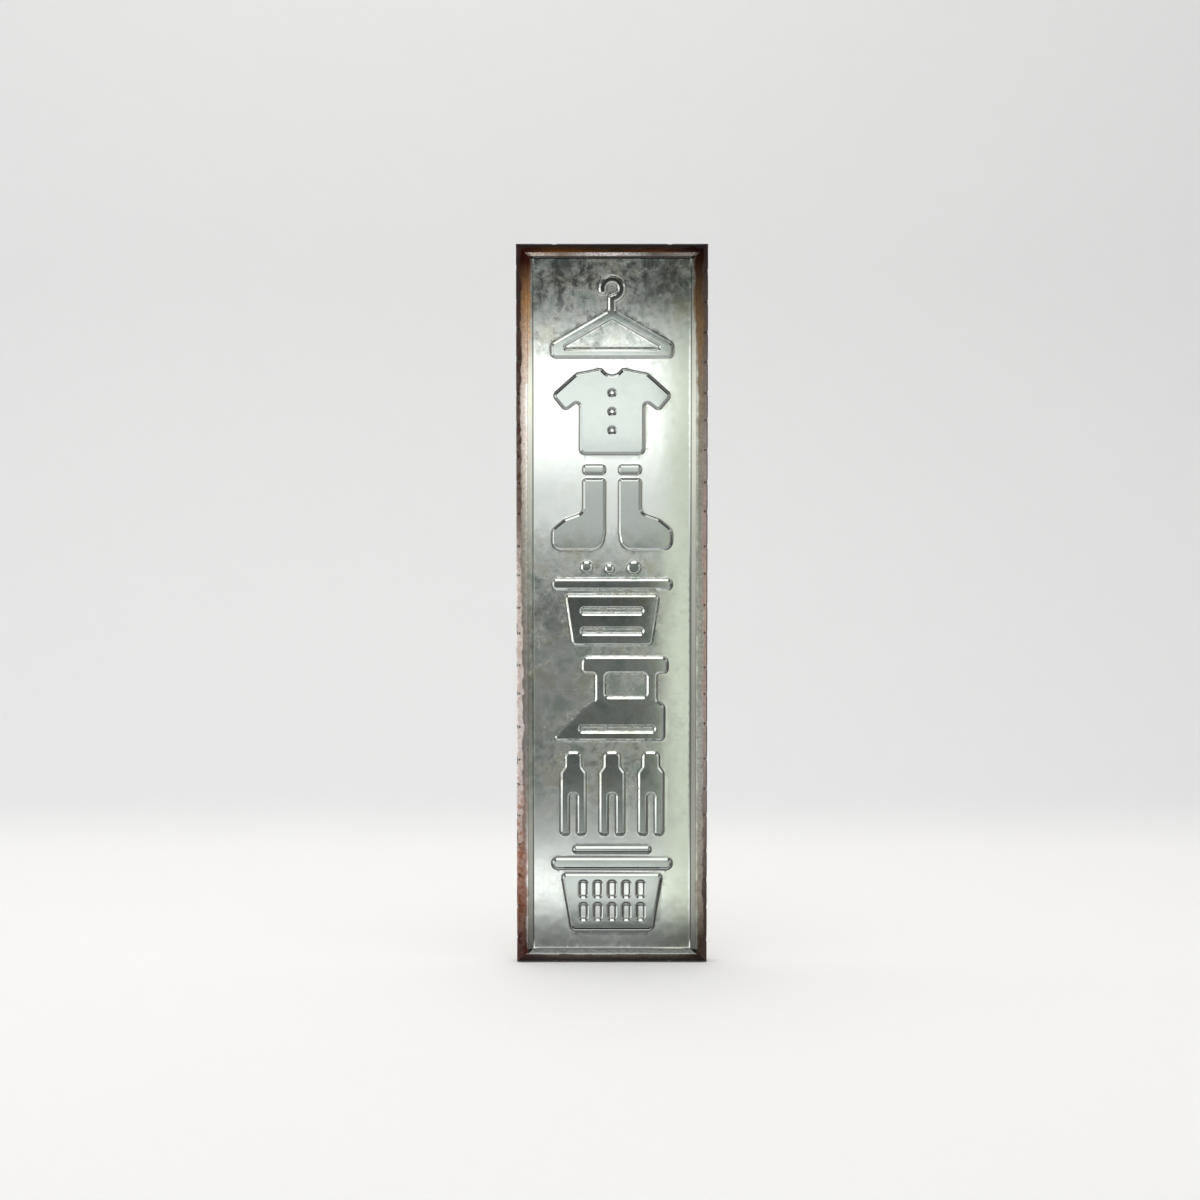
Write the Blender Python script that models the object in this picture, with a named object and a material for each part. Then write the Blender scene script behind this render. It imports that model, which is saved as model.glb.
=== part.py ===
"""Tall pressed-steel trade sign on a wooden batten frame, hung by a swinging wire ring.

The front faces -Y, the back lies in the plane Y = 0, +Z is up, and the origin is the middle of the back.
Run with: blender --background --python part.py
"""

import math
import random

import bmesh
import bpy
from mathutils import Matrix, Vector

# Overall sizes, in metres
HEIGHT = 0.800
WIDTH = 0.2127
DEPTH = 0.0190
SHEET = 0.0006
CLEARANCE = 0.0003

# Rim of the sheet: a raised band along each edge, and the run of its slope down to the field
BAND_SIDE = 0.0125
BAND_TOP = 0.0091
BAND_BOTTOM = 0.0098
SLOPE_SIDE = 0.0059
SLOPE_TOP = 0.0050
SLOPE_BOTTOM = 0.0092
RIM_RISE = 0.0036
FOLD_RADIUS = 0.0025
FLANGE_DRAW = 0.0008
DRAW_LENGTH = 0.0020
CORNER_NOTCH = 0.0008

# Pressed pictures in the field, one above another
PICTURE_RISE = 0.0028
PICTURE_SLOPE = 0.0021
PICTURE_GAP = 0.0124
PICTURE_SIDE_MARGIN = 0.0190
COLUMN_TOP_MARGIN = 0.0174
COLUMN_BOTTOM_MARGIN = 0.0168
DRAWN_HEIGHT = 100.0
DRAWN_WIDTH = 146.0

# Battens of the frame
STILE_WIDTH = 0.0240
RAIL_HEIGHT = 0.0360
BATTEN_EDGE = 0.0005

# Tacks through the folded edge, driven by eye, so each strays a little from its even place
TACK_PITCH = 0.0338
TACK_STRAY = 0.0035
SIDE_TACK_INSET = 0.0280
END_TACK_INSET = 0.01635
TACK_FROM_BACK = 0.0100
TACK_HEAD_RADIUS = 0.0024
TACK_HEAD_RISE = 0.0005
TACK_SHANK_RADIUS = 0.0007
TACK_LENGTH = 0.0090
TACK_POINT = 0.0020
TACK_SIDES = 6

# Hanger: a strap with a rolled eye, its ring and its screw
STRAP_WIDTH = 0.0100
STRAP_THICKNESS = 0.0008
STRAP_LENGTH = 0.0220
STRAP_CORNER = 0.0030
EYE_CURL = 280.0
EYE_STEP = 20.0
EYE_BELOW_TOP = 0.0135
WIRE_RADIUS = 0.0010
RING_HALF_WIDTH = 0.0080
RING_CORNER = 0.0025
RING_SIDES = 2
SCREW_BELOW_EYE = 0.0165
SCREW_HEAD_RADIUS = 0.0034
SCREW_HEAD_RISE = 0.0020
SCREW_SHANK_RADIUS = 0.0014
SCREW_LENGTH = 0.0120
SCREW_POINT = 0.0025
SCREW_SIDES = 12

# Fineness of the rounded shapes
ARC_STEP = 22.5
SLOPE_STEPS = 3
FOLD_STEPS = 4

# Places that follow from the sizes
FIELD_Y = -(DEPTH - RIM_RISE)
FRAME_DEPTH = -FIELD_Y - SHEET - CLEARANCE
FRAME_INSET = FLANGE_DRAW + SHEET + CLEARANCE
FRAME_HALF_WIDTH = WIDTH / 2 - FRAME_INSET
FRAME_HALF_HEIGHT = HEIGHT / 2 - FRAME_INSET
RAIL_HALF_LENGTH = FRAME_HALF_WIDTH - STILE_WIDTH - CLEARANCE
TOP_RAIL_Z = FRAME_HALF_HEIGHT - RAIL_HEIGHT / 2
EYE_INNER_RADIUS = WIRE_RADIUS + CLEARANCE
EYE_OUTER_RADIUS = EYE_INNER_RADIUS + STRAP_THICKNESS
EYE_Y = CLEARANCE + EYE_OUTER_RADIUS
EYE_Z = FRAME_HALF_HEIGHT - EYE_BELOW_TOP
SCREW_Z = EYE_Z - SCREW_BELOW_EYE
CUT = 0.0020
MERGE = 1e-7

MATERIALS = {
    "galvanised": ((0.50, 0.53, 0.51), 0.32, 1.0),
    "pine": ((0.55, 0.39, 0.22), 0.75, 0.0),
    "blued_steel": ((0.05, 0.05, 0.055), 0.45, 1.0),
    "zinc_plate": ((0.62, 0.62, 0.60), 0.35, 1.0),
}


# Scene and object helpers
def clear_scene():
    for obj in list(bpy.data.objects):
        bpy.data.objects.remove(obj, do_unlink=True)


def make_material(name):
    colour, roughness, metallic = MATERIALS[name]
    material = bpy.data.materials.new(name)
    material.use_nodes = True
    shader = material.node_tree.nodes["Principled BSDF"]
    shader.inputs["Base Color"].default_value = (*colour, 1.0)
    shader.inputs["Roughness"].default_value = roughness
    shader.inputs["Metallic"].default_value = metallic
    return material


def add_object(name, bm, material, smooth=False):
    mesh = bpy.data.meshes.new(name)
    bm.to_mesh(mesh)
    bm.free()
    obj = bpy.data.objects.new(name, mesh)
    bpy.context.scene.collection.objects.link(obj)
    if material:
        mesh.materials.append(make_material(material))
    if smooth:
        mesh.shade_smooth()
        mesh.set_sharp_from_angle(angle=math.radians(35))
    return obj


def add_cutter(name, bm):
    bmesh.ops.recalc_face_normals(bm, faces=bm.faces)
    cutter = add_object(name, bm, None)
    cutter.hide_render = True
    cutter.display_type = "WIRE"
    return cutter


def bevel_edges(bm, edges, offset, segments):
    bmesh.ops.bevel(
        bm, geom=edges, offset=offset, segments=segments, profile=0.5, affect="EDGES", material=-1
    )


def cut_away(obj, cutter):
    boolean = obj.modifiers.new(cutter.name, "BOOLEAN")
    boolean.operation = "DIFFERENCE"
    boolean.solver = "EXACT"
    boolean.object = cutter


def add_box(bm, low, high):
    """A box between two corners, in the mesh that is being built."""
    low, high = Vector(low), Vector(high)
    size = Matrix.Diagonal((*(high - low), 1.0))
    bmesh.ops.create_cube(bm, size=1.0, matrix=Matrix.Translation((low + high) / 2) @ size)


def turned(bm, profile, sides, place):
    """Turn a profile of (radius, height) points about Z, close its poles and move it to its place."""
    verts = [bm.verts.new((radius, 0.0, height)) for radius, height in profile]
    edges = [bm.edges.new(pair) for pair in zip(verts, verts[1:])]
    older = set(bm.verts) - set(verts)
    bmesh.ops.spin(
        bm, geom=verts + edges, cent=(0, 0, 0), axis=(0, 0, 1), angle=math.tau, steps=sides, use_merge=True
    )
    bmesh.ops.remove_doubles(bm, verts=[vert for vert in bm.verts if vert not in older], dist=MERGE)
    bmesh.ops.transform(bm, matrix=place, verts=[vert for vert in bm.verts if vert not in older])


# Outlines of the pressed pictures, drawn 100 high about their middle
def rounded(corners):
    """Round each (x, z, radius) corner of a closed outline; a corner with no radius stays a point."""
    points = []
    count = len(corners)
    for index, (x, z, *radius) in enumerate(corners):
        here = Vector((x, z))
        if not radius:
            points.append(here)
            continue
        before = (Vector(corners[index - 1][:2]) - here).normalized()
        after = (Vector(corners[(index + 1) % count][:2]) - here).normalized()
        half = before.angle(after) / 2
        centre = here + (before + after).normalized() * radius[0] / math.sin(half)
        start = here + before * radius[0] / math.tan(half) - centre
        sweep = start.angle_signed(here + after * radius[0] / math.tan(half) - centre)
        steps = max(2, round(abs(math.degrees(sweep)) / ARC_STEP))
        for step in range(steps + 1):
            points.append(centre + Matrix.Rotation(-sweep * step / steps, 2) @ start)
    return points


def arc(x, z, radius, start, end):
    steps = max(2, round(abs(end - start) / ARC_STEP))
    angles = [math.radians(start + (end - start) * step / steps) for step in range(steps + 1)]
    return [(x + radius * math.cos(angle), z + radius * math.sin(angle)) for angle in angles]


def disc(x, z, radius):
    return [Vector(point) for point in arc(x, z, radius, 0, 360)[:-1]]


def bar(left, bottom, right, top, radius):
    corners = ((left, bottom), (right, bottom), (right, top), (left, top))
    return rounded([(x, z, radius) for x, z in corners])


def mirrored(half):
    """Close an outline from its right half, drawn from the top down."""
    return half + [(-x, z, *radius) for x, z, *radius in reversed(half)]


def hanger():
    hook_z, hook_out, hook_in, tip = 31.0, 16.0, 6.5, 190.0
    neck, middle = (hook_out - hook_in) / 2, (hook_out + hook_in) / 2
    turn = math.radians(tip)
    outline = [(-neck, 5, 4), (-neck, 22, 4)]
    outline += arc(0, hook_z, hook_in, -90, tip)
    outline += arc(middle * math.cos(turn), hook_z + middle * math.sin(turn), neck, tip - 180, tip - 360)[1:-1]
    outline += arc(0, hook_z, hook_out, tip, -73)
    outline += [(neck, 5, 4)]
    outline += [(72, -34, 6), (72, -50, 6), (-72, -50, 6), (-72, -34, 6)]
    opening = [(0, -4, 3), (62, -40, 2.5), (-62, -40, 2.5)]
    return [(rounded(outline), [rounded(opening)])]


def shirt():
    half = [(13, 50, 3.8), (42, 44, 8), (70, 19, 5), (55, 1, 5), (38, 14, 4), (38, -50, 6)]
    outline = mirrored(half) + [(0, 37, 12)]
    buttons = [disc(0, z, 3.2) for z in (22, 0, -22)]
    return [(rounded(outline), buttons)]


def socks():
    shapes = []
    for side in (1, -1):
        foot = [(8, 34, 3.5), (34, 34, 3.5), (34, -6, 10), (56, -14, 8)]
        foot += [(71, -26, 12), (71, -50, 11), (12, -50, 14), (8, -30, 8)]
        cuff = [(8, 40, 3.5), (34, 40, 3.5), (34, 50, 3.5), (8, 50, 3.5)]
        for corners in (foot, cuff):
            shapes.append((rounded([(side * x, z, radius) for x, z, radius in corners]), []))
    return shapes


def washtub():
    body = [(56, 10, 5), (47, -50, 6), (-47, -50, 6), (-56, 10, 5)]
    hoops = [bar(-36, z, 36, z + 6, 2.9) for z in (-12, -36)]
    shapes = [(rounded(body), hoops), (bar(-71, 16, 71, 29, 6), [])]
    shapes += [(disc(x, z, radius), []) for x, z, radius in ((-30, 43, 7), (-3, 41, 5.5), (26, 42, 8))]
    return shapes


def flat_iron():
    outline = [(-73, -50, 3.8), (62, -50, 6), (62, -8, 8), (53, -2, 4), (53, 30, 3.5), (66, 30, 6)]
    outline += [(66, 50, 8), (-36, 50, 8), (-36, 30, 6), (-20, 30, 3.5), (-20, -2, 5), (-36, -12, 22)]
    grip_opening = bar(-8, 2, 41, 30, 5)
    sole_line = bar(-38, -39, 50, -33, 2.9)
    return [(rounded(outline), [grip_opening, sole_line])]


def pegs():
    shapes = []
    for middle in (-46, 0, 46):
        half = [(10, 50, 7), (10, 32, 4), (15, 25, 4), (15, -50, 5), (4.5, -50, 3.5), (4.5, 0, 3.8)]
        shapes.append((rounded([(middle + x, z, radius) for x, z, radius in mirrored(half)]), []))
    return shapes


def basket():
    body = [(60, 17, 5), (48, -50, 6), (-48, -50, 6), (-60, 17, 5)]
    slots = [bar(x - 4, z, x + 4, z + 18, 3) for x in (-34, -17, 0, 17, 34) for z in (-37, -10)]
    return [(rounded(body), slots), (bar(-71, 23, 71, 36, 6), []), (bar(-46, 42, 46, 50, 3.6), [])]


PICTURES = (hanger, shirt, socks, washtub, flat_iron, pegs, basket)


# Pressed sheet
def band_corners(side, top, bottom, y):
    """The four corners of a rectangle that lies these distances inside the sheet's outer edges."""
    x = WIDTH / 2 - side
    low, high = -HEIGHT / 2 + bottom, HEIGHT / 2 - top
    return [Vector((-x, y, low)), Vector((x, y, low)), Vector((x, y, high)), Vector((-x, y, high))]


def rim_stations():
    """Rectangles from the edge of the field, up the slope, across the rim and round the fold."""
    stations = []
    for step in range(1, SLOPE_STEPS + 1):
        run = 1 - step / SLOPE_STEPS
        rise = 0.5 - 0.5 * math.cos(math.pi * step / SLOPE_STEPS)
        sides = (BAND_SIDE + SLOPE_SIDE * run, BAND_TOP + SLOPE_TOP * run, BAND_BOTTOM + SLOPE_BOTTOM * run)
        stations.append(band_corners(*sides, FIELD_Y - RIM_RISE * rise))
    for step in range(FOLD_STEPS + 1):
        angle = math.pi / 2 * step / FOLD_STEPS
        inset = FOLD_RADIUS * (1 - math.sin(angle))
        stations.append(band_corners(inset, inset, inset, -DEPTH + FOLD_RADIUS * (1 - math.cos(angle))))
    drawn_y = -DEPTH + FOLD_RADIUS + DRAW_LENGTH
    stations.append(band_corners(FLANGE_DRAW, FLANGE_DRAW, FLANGE_DRAW, drawn_y))
    return stations


def new_loop(bm, points):
    verts = [bm.verts.new(point) for point in points]
    return [bm.edges.new((vert, verts[index - 1])) for index, vert in enumerate(verts)]


def fill(bm, edges):
    filled = bmesh.ops.triangle_fill(bm, use_beauty=True, edges=edges, normal=(0, -1, 0))
    return [item for item in filled["geom"] if isinstance(item, bmesh.types.BMFace)]


def extrude_edges(bm, edges):
    """Extrude open edges; gives the new vertices with the old place of each, and the new edges."""
    grown = bmesh.ops.extrude_edge_only(bm, edges=edges)["geom"]
    verts = [item for item in grown if isinstance(item, bmesh.types.BMVert)]
    kept = set(verts)
    outer = [item for item in grown if isinstance(item, bmesh.types.BMEdge) and kept.issuperset(item.verts)]
    return verts, outer


def field_skin(bm):
    """The field with its raised pictures; gives the four edges of its outer boundary."""
    field = band_corners(BAND_SIDE + SLOPE_SIDE, BAND_TOP + SLOPE_TOP, BAND_BOTTOM + SLOPE_BOTTOM, FIELD_Y)
    low, high = field[0].z + COLUMN_BOTTOM_MARGIN, field[2].z - COLUMN_TOP_MARGIN
    pitch = (high - low + PICTURE_GAP) / len(PICTURES)
    width = 2 * (field[2].x - PICTURE_SIDE_MARGIN)
    scale = min((pitch - PICTURE_GAP) / DRAWN_HEIGHT, width / DRAWN_WIDTH)
    border = new_loop(bm, field)
    around, raised = list(border), []
    for index, picture in enumerate(PICTURES):
        middle = high - (pitch - PICTURE_GAP) / 2 - pitch * index
        for outline, openings in picture():
            loops = []
            for points in [outline, *openings]:
                loops.append(new_loop(bm, [(p.x * scale, FIELD_Y, middle + p.y * scale) for p in points]))
            around += loops[0]
            raised += fill(bm, sum(loops, []))
            for opening in loops[1:]:
                fill(bm, opening)
    fill(bm, around)
    for face in bm.faces:
        if face.normal.y > 0:
            face.normal_flip()
    bmesh.ops.inset_region(
        bm, faces=raised, thickness=PICTURE_SLOPE, depth=PICTURE_RISE, use_boundary=True, use_even_offset=True
    )
    return border


def tack_places():
    """For each edge, the places where its tacks go in, each with +Z pointing out of the edge."""
    stray = random.Random(5)
    span = HEIGHT - 2 * SIDE_TACK_INSET
    count = round(span / TACK_PITCH) + 1
    flange_x, flange_z = WIDTH / 2 - FLANGE_DRAW, HEIGHT / 2 - FLANGE_DRAW
    end_tack_x = RAIL_HALF_LENGTH - END_TACK_INSET
    places = {}
    for edge, side in (("left", -1), ("right", 1)):
        turn = Matrix.Rotation(side * math.pi / 2, 4, "Y")
        for index in range(count):
            z = span * (index / (count - 1) - 0.5) + stray.uniform(-TACK_STRAY, TACK_STRAY)
            name = f"{edge}_tack_{index + 1:02d}"
            places[name] = Matrix.Translation((side * flange_x, -TACK_FROM_BACK, z)) @ turn
    for edge, side in (("top", 1), ("bottom", -1)):
        turn = Matrix.Rotation(0 if side > 0 else math.pi, 4, "X")
        for index, x in enumerate((-end_tack_x, end_tack_x)):
            name = f"{edge}_tack_{index + 1}"
            places[name] = Matrix.Translation((x, -TACK_FROM_BACK, side * flange_z)) @ turn
    return places


def tack_hole_cutter(places):
    """Holes for all the tacks, with the clearance between flats, through the sheet and into the battens."""
    radius = (TACK_SHANK_RADIUS + CLEARANCE) / math.cos(math.pi / TACK_SIDES)
    bottom = -TACK_LENGTH - CLEARANCE
    bm = bmesh.new()
    for place in places.values():
        turned(bm, [(0, CUT), (radius, CUT), (radius, bottom), (0, bottom)], TACK_SIDES, place)
    return add_cutter("tack_hole_cutter", bm)


def make_face_sheet(holes):
    bm = bmesh.new()
    edges = field_skin(bm)
    for corners in rim_stations():
        verts, edges = extrude_edges(bm, edges)
        for vert in verts:
            vert.co = min(corners, key=lambda c: (c.x * vert.co.x < 0) + (c.z * vert.co.z < 0))
    for edge in edges:
        fold_flange(bm, edge)
    bmesh.ops.recalc_face_normals(bm, faces=bm.faces)
    if min(bm.faces, key=lambda f: f.calc_center_median().length).normal.y > 0:
        bmesh.ops.reverse_faces(bm, faces=bm.faces)
    sheet = add_object("face_sheet", bm, "galvanised", smooth=True)
    wall = sheet.modifiers.new("sheet thickness", "SOLIDIFY")
    wall.thickness = SHEET
    wall.offset = -1
    wall.use_even_offset = True
    cut_away(sheet, holes)


def fold_flange(bm, edge):
    """One edge folded back to the wall plane, with its ends notched clear of the next fold."""
    along = (edge.verts[1].co - edge.verts[0].co).normalized()
    verts, _ = extrude_edges(bm, [edge])
    middle = (verts[0].co + verts[1].co) / 2
    for vert in verts:
        vert.co += along * CORNER_NOTCH * (-1 if (vert.co - middle).dot(along) > 0 else 1)
        vert.co.y = 0


# Batten frame
def make_batten(name, low, high, cutters):
    bm = bmesh.new()
    add_box(bm, low, high)
    bevel_edges(bm, bm.edges[:], BATTEN_EDGE, 1)
    batten = add_object(name, bm, "pine")
    for cutter in cutters:
        cut_away(batten, cutter)


def make_frame(tack_holes):
    for name, side in (("left_stile", -1), ("right_stile", 1)):
        ends = sorted((side * FRAME_HALF_WIDTH, side * (FRAME_HALF_WIDTH - STILE_WIDTH)))
        low = (ends[0], -FRAME_DEPTH, -FRAME_HALF_HEIGHT)
        high = (ends[1], 0, FRAME_HALF_HEIGHT)
        make_batten(name, low, high, [tack_holes])
    for name, z in (("top_rail", TOP_RAIL_Z), ("middle_rail", 0), ("bottom_rail", -TOP_RAIL_Z)):
        low = (-RAIL_HALF_LENGTH, -FRAME_DEPTH, z - RAIL_HEIGHT / 2)
        high = (RAIL_HALF_LENGTH, 0, z + RAIL_HEIGHT / 2)
        cutters = [] if name == "middle_rail" else [tack_holes]
        if name == "top_rail":
            cutters.append(screw_hole_cutter())
        make_batten(name, low, high, cutters)


def make_tacks(places):
    profile = [
        (0, CLEARANCE + TACK_HEAD_RISE),
        (TACK_HEAD_RADIUS * 0.6, CLEARANCE + TACK_HEAD_RISE),
        (TACK_HEAD_RADIUS, CLEARANCE),
        (TACK_SHANK_RADIUS, CLEARANCE),
        (TACK_SHANK_RADIUS, TACK_POINT - TACK_LENGTH),
        (0, -TACK_LENGTH),
    ]
    for name, place in places.items():
        bm = bmesh.new()
        turned(bm, profile, TACK_SIDES, place)
        bmesh.ops.recalc_face_normals(bm, faces=bm.faces)
        add_object(name, bm, "blued_steel")


# Hanger on the top rail
def strap_outline():
    """The strap's edge in Y and Z: the flat tongue, then the eye curled back over the ring's bar."""
    steps = round(EYE_CURL / EYE_STEP)
    angles = [math.radians(180 - EYE_CURL * step / steps) for step in range(steps + 1)]
    back = [(EYE_Y + EYE_OUTER_RADIUS * math.cos(a), EYE_Z + EYE_OUTER_RADIUS * math.sin(a)) for a in angles]
    inner = [(EYE_Y + EYE_INNER_RADIUS * math.cos(a), EYE_Z + EYE_INNER_RADIUS * math.sin(a)) for a in angles]
    end = EYE_Z - STRAP_LENGTH
    return [(CLEARANCE, end), *back, *reversed(inner), (CLEARANCE + STRAP_THICKNESS, end)]


def make_strap():
    bm = bmesh.new()
    verts = [bm.verts.new((-STRAP_WIDTH / 2, y, z)) for y, z in strap_outline()]
    grown = bmesh.ops.extrude_face_region(bm, geom=[bm.faces.new(verts)])["geom"]
    moved = [item for item in grown if isinstance(item, bmesh.types.BMVert)]
    bmesh.ops.translate(bm, verts=moved, vec=(STRAP_WIDTH, 0, 0))
    end = EYE_Z - STRAP_LENGTH
    end_edges = [edge for edge in bm.edges if all(abs(vert.co.z - end) < MERGE for vert in edge.verts)]
    corners = [edge for edge in end_edges if edge.verts[0].co.x == edge.verts[1].co.x]
    bevel_edges(bm, corners, STRAP_CORNER, 3)
    bmesh.ops.recalc_face_normals(bm, faces=bm.faces)
    cut_away(add_object("hanger_strap", bm, "zinc_plate", smooth=True), screw_hole_cutter())


def make_ring():
    """A D of wire hanging from its straight bar, which lies on the eye's axis."""
    straight = RING_HALF_WIDTH - RING_CORNER
    path = arc(straight, -RING_CORNER, RING_CORNER, 90, 0)
    path += arc(0, -RING_CORNER, RING_HALF_WIDTH, 0, -180)[1:]
    path += arc(-straight, -RING_CORNER, RING_CORNER, 180, 90)[1:]
    curve = bpy.data.curves.new("hanger_ring", "CURVE")
    curve.dimensions = "3D"
    curve.bevel_depth = WIRE_RADIUS
    curve.bevel_resolution = RING_SIDES
    spline = curve.splines.new("POLY")
    spline.points.add(len(path) - 1)
    for point, (x, z) in zip(spline.points, path):
        point.co = (x, 0, z, 1)
    spline.use_cyclic_u = True
    ring = bpy.data.objects.new("hanger_ring", curve)
    ring.location = (0, EYE_Y, EYE_Z)
    bpy.context.scene.collection.objects.link(ring)
    curve.materials.append(make_material("zinc_plate"))


def screw_place():
    seat = Matrix.Translation((0, CLEARANCE + STRAP_THICKNESS + CLEARANCE, SCREW_Z))
    return seat @ Matrix.Rotation(-math.pi / 2, 4, "X")


def make_screw():
    profile = [
        (0, SCREW_HEAD_RISE),
        (SCREW_HEAD_RADIUS * 0.55, SCREW_HEAD_RISE * 0.9),
        (SCREW_HEAD_RADIUS * 0.9, SCREW_HEAD_RISE * 0.5),
        (SCREW_HEAD_RADIUS, 0),
        (SCREW_SHANK_RADIUS, 0),
        (SCREW_SHANK_RADIUS, SCREW_POINT - SCREW_LENGTH),
        (0, -SCREW_LENGTH),
    ]
    bm = bmesh.new()
    turned(bm, profile, SCREW_SIDES, screw_place())
    bmesh.ops.recalc_face_normals(bm, faces=bm.faces)
    add_object("hanger_screw", bm, "zinc_plate", smooth=True)


def screw_hole_cutter():
    radius = (SCREW_SHANK_RADIUS + CLEARANCE) / math.cos(math.pi / SCREW_SIDES)
    bm = bmesh.new()
    bottom = -SCREW_LENGTH - CLEARANCE
    turned(bm, [(0, CUT), (radius, CUT), (radius, bottom), (0, bottom)], SCREW_SIDES, screw_place())
    return add_cutter("screw_hole_cutter", bm)


def main():
    clear_scene()
    places = tack_places()
    tack_holes = tack_hole_cutter(places)
    make_face_sheet(tack_holes)
    make_frame(tack_holes)
    make_tacks(places)
    make_strap()
    make_ring()
    make_screw()


main()
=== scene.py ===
"""Looks of a tall pressed-steel trade sign: galvanised face, worn rim, pine battens, tacks and hanger."""

import math
from functools import partial
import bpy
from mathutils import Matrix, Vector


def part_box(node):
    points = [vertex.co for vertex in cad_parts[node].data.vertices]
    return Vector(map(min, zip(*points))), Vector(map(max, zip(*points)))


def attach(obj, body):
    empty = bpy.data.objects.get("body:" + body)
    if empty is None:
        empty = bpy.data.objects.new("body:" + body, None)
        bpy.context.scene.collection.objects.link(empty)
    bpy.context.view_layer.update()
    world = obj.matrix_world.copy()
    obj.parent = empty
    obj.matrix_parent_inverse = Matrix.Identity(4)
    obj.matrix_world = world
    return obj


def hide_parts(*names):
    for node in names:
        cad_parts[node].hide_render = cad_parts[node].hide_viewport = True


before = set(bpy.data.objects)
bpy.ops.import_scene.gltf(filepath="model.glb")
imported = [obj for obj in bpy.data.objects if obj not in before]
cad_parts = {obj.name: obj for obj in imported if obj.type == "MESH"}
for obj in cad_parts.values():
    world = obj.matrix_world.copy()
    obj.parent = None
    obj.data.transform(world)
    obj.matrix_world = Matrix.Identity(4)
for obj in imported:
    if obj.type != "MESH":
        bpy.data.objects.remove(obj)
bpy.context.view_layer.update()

from types import SimpleNamespace

import bmesh
import bpy
from mathutils import Matrix, Vector, kdtree, noise

MM = 0.001
MERGE = 1e-6
SOFT = {"interpolation_type": "SMOOTHSTEP"}
COLOURS = {"data_type": "RGBA"}

# Overall sizes, read from the frame
SHEET_LOW, SHEET_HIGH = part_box("face_sheet")
WIDTH = SHEET_HIGH.x - SHEET_LOW.x
HEIGHT = SHEET_HIGH.z - SHEET_LOW.z
DEPTH = SHEET_HIGH.y - SHEET_LOW.y

# Sheet: its thickness, and at its sides, top and bottom the raised band's width and the run of its slope
SHEET = 0.6 * MM
BANDS = (12.5 * MM, 9.1 * MM, 9.0 * MM)
SLOPES = (5.9 * MM, 5.0 * MM, 5.4 * MM)
RIM_RISE = 3.6 * MM
RIM_SLOPE_ANGLE = math.radians(36)
FOLD_RADIUS = 2.5 * MM
FOLD_STEPS = 6
FLANGE_DRAW = 0.8 * MM
DRAW_LENGTH = 2.0 * MM
CORNER_NOTCH = 0.8 * MM
FIELD_Y = -(DEPTH - RIM_RISE)
SHARP_ANGLE = math.radians(21)

# Pressed pictures: their rise and slope, and the soft sag of the sheet beside them
PICTURE_RISE = 2.0 * MM
PICTURE_SLOPE = 2.6 * MM
PICTURE_SLOPE_ANGLE = math.radians(42)
BEND_STEPS = 4
SAG = 0.14 * MM
SAG_RUN, SAG_STEPS = 0.6 * MM, 3
PICTURE_GAP = 12.4 * MM
PICTURE_SIDE_MARGIN = 19.0 * MM
COLUMN_TOP_MARGIN = 17.4 * MM
COLUMN_BOTTOM_MARGIN = 21.4 * MM
DRAWN_HEIGHT = 100.0
DRAWN_WIDTH = 146.0
ARC_STEP = 12.0

# What the sheet's points tell for its material: their rise, and how near a dent, a picture or a tack
VALUES = ("raised", "dent", "near", "dot")

# Grid that the field is cut by, and how far from a picture its frosted halo reaches
GRID = 7.0 * MM
HALO = 9.0 * MM
OUTLINE_STEP = 2.0 * MM

# Where the zinc lies even: round a height, below another, beyond a line on the right, never at the very top
EVEN_Z, EVEN_REACH, EVEN_FADE = 180 * MM, 85 * MM, 45 * MM
EVEN_FOOT, EVEN_TOP = -250 * MM, 325 * MM
EVEN_X, EVEN_X_FADE = 50 * MM, 8 * MM

# Marks on the zinc: frost round the pictures, painted shade that darkens its top, how dark the speckled
# painted shade gets, and a scratch given by its middle, its reach and its half-width
HALO_FROST = 0.5
PAINTED_TOP_SHADE_START, PAINTED_TOP_SHADE_END, PAINTED_TOP_SHADE_LEVEL = 310 * MM, 350 * MM, 0.74
SPECKLED_SHADE_LEVEL = 0.12
SCRATCH = (-94 * MM, 0.7 * MM, 0.3 * MM)

# The same, in millimetres from an end: the top's crest with its painted highlight, the crease under it and
# the foot's ledge, both with painted shade
CREST, UNDER_CREST, LEDGE = (11.6, 2.3, 1.2), (15.0, 2.0, 1.2), (12.0, 2.7, 1.9)

# Where the rim's tint and oxide end and where they are full, in millimetres from the edge, how much these
# lines waver, and how much further the tint reaches high up each side and at the top, the oxide on the left
SIDE_TINT, END_TINT, OXIDE = (14.0, 9.5), (9.4, 8.2), (6.2, 4.2)
SIDE_WAVER, END_WAVER, OXIDE_WAVER = 2.0, 0.6, 2.2
WIDER_SIDE_TINT, WIDER_TOP_TINT, WIDER_OXIDE = 4.5, 4.8, 3.4

# Dents that the tacks pull into the folded edge, and the points that the edge needs for them
EDGE_SPACING = 12 * MM
EDGE_LEAST = 0.5 * MM
DENT_SAMPLES = [offset * MM for offset in (-4.5, -3.0, -1.8, -0.8, 0, 0.8, 1.8, 3.0, 4.5)]
DENT_DEPTH = 0.9 * MM
DENT_WIDTH = 2.0 * MM
DENT_Y = -16.5 * MM
DENT_REACH = 4.0 * MM
DENT_FADE = 7.0 * MM
DOT_INSET = 3.3 * MM
DOT_RADIUS = 1.1 * MM
EDGE_WAVE = 0.2 * MM
WAVES_ACROSS, WAVES_ALONG = 9, 28

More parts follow.
